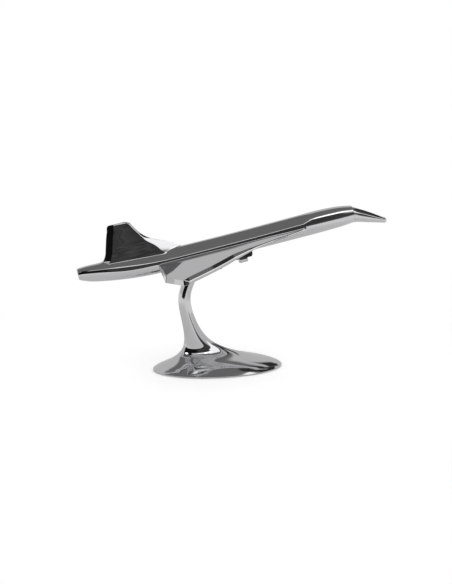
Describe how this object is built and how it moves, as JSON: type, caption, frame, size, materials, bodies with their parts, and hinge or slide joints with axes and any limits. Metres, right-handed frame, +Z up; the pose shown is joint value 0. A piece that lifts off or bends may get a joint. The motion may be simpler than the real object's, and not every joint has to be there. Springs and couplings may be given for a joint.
{
  "type": "hood ornament",
  "caption": "Polished metal delta-wing jet mascot with a drooped nose and tail fin, held nose-up on a curved stem that flares into an oval foot.",
  "frame": {"origin": "centre of the felt pad's underside, the face the mascot rests on", "axes": "+Z up from the surface it rests on, +X the way the aircraft's nose points, +Y to the aircraft's port side"},
  "size_m": [0.2645, 0.1088, 0.1379],
  "materials": {
    "polished_aluminium": "mirror-polished sand casting",
    "steel_fastener": "plain turned steel",
    "ballast_steel": "oiled mild steel plate",
    "felt": "dark pressed felt"
  },
  "bodies": {
    "root": {"fuselage": "polished_aluminium", "droop_nose": "polished_aluminium", "tail_fin": "polished_aluminium", "port_wing": "polished_aluminium", "starboard_wing": "polished_aluminium", "port_nacelle": "polished_aluminium", "starboard_nacelle": "polished_aluminium", "port_inner_engine_barrel": "polished_aluminium", "port_outer_engine_barrel": "polished_aluminium", "starboard_inner_engine_barrel": "polished_aluminium", "starboard_outer_engine_barrel": "polished_aluminium", "stem_and_foot": "polished_aluminium", "nose_screw": "steel_fastener", "fin_dowel_1": "steel_fastener", "fin_dowel_2": "steel_fastener", "port_wing_screw_1": "steel_fastener", "port_wing_screw_2": "steel_fastener", "starboard_wing_screw_1": "steel_fastener", "starboard_wing_screw_2": "steel_fastener", "port_nacelle_screw_1": "steel_fastener", "port_nacelle_screw_2": "steel_fastener", "starboard_nacelle_screw_1": "steel_fastener", "starboard_nacelle_screw_2": "steel_fastener", "stem_stud": "steel_fastener", "plate_screw_1": "steel_fastener", "plate_screw_2": "steel_fastener", "plate_screw_3": "steel_fastener", "foot_plate": "ballast_steel", "felt_pad": "felt"}
  },
  "joints": []
}
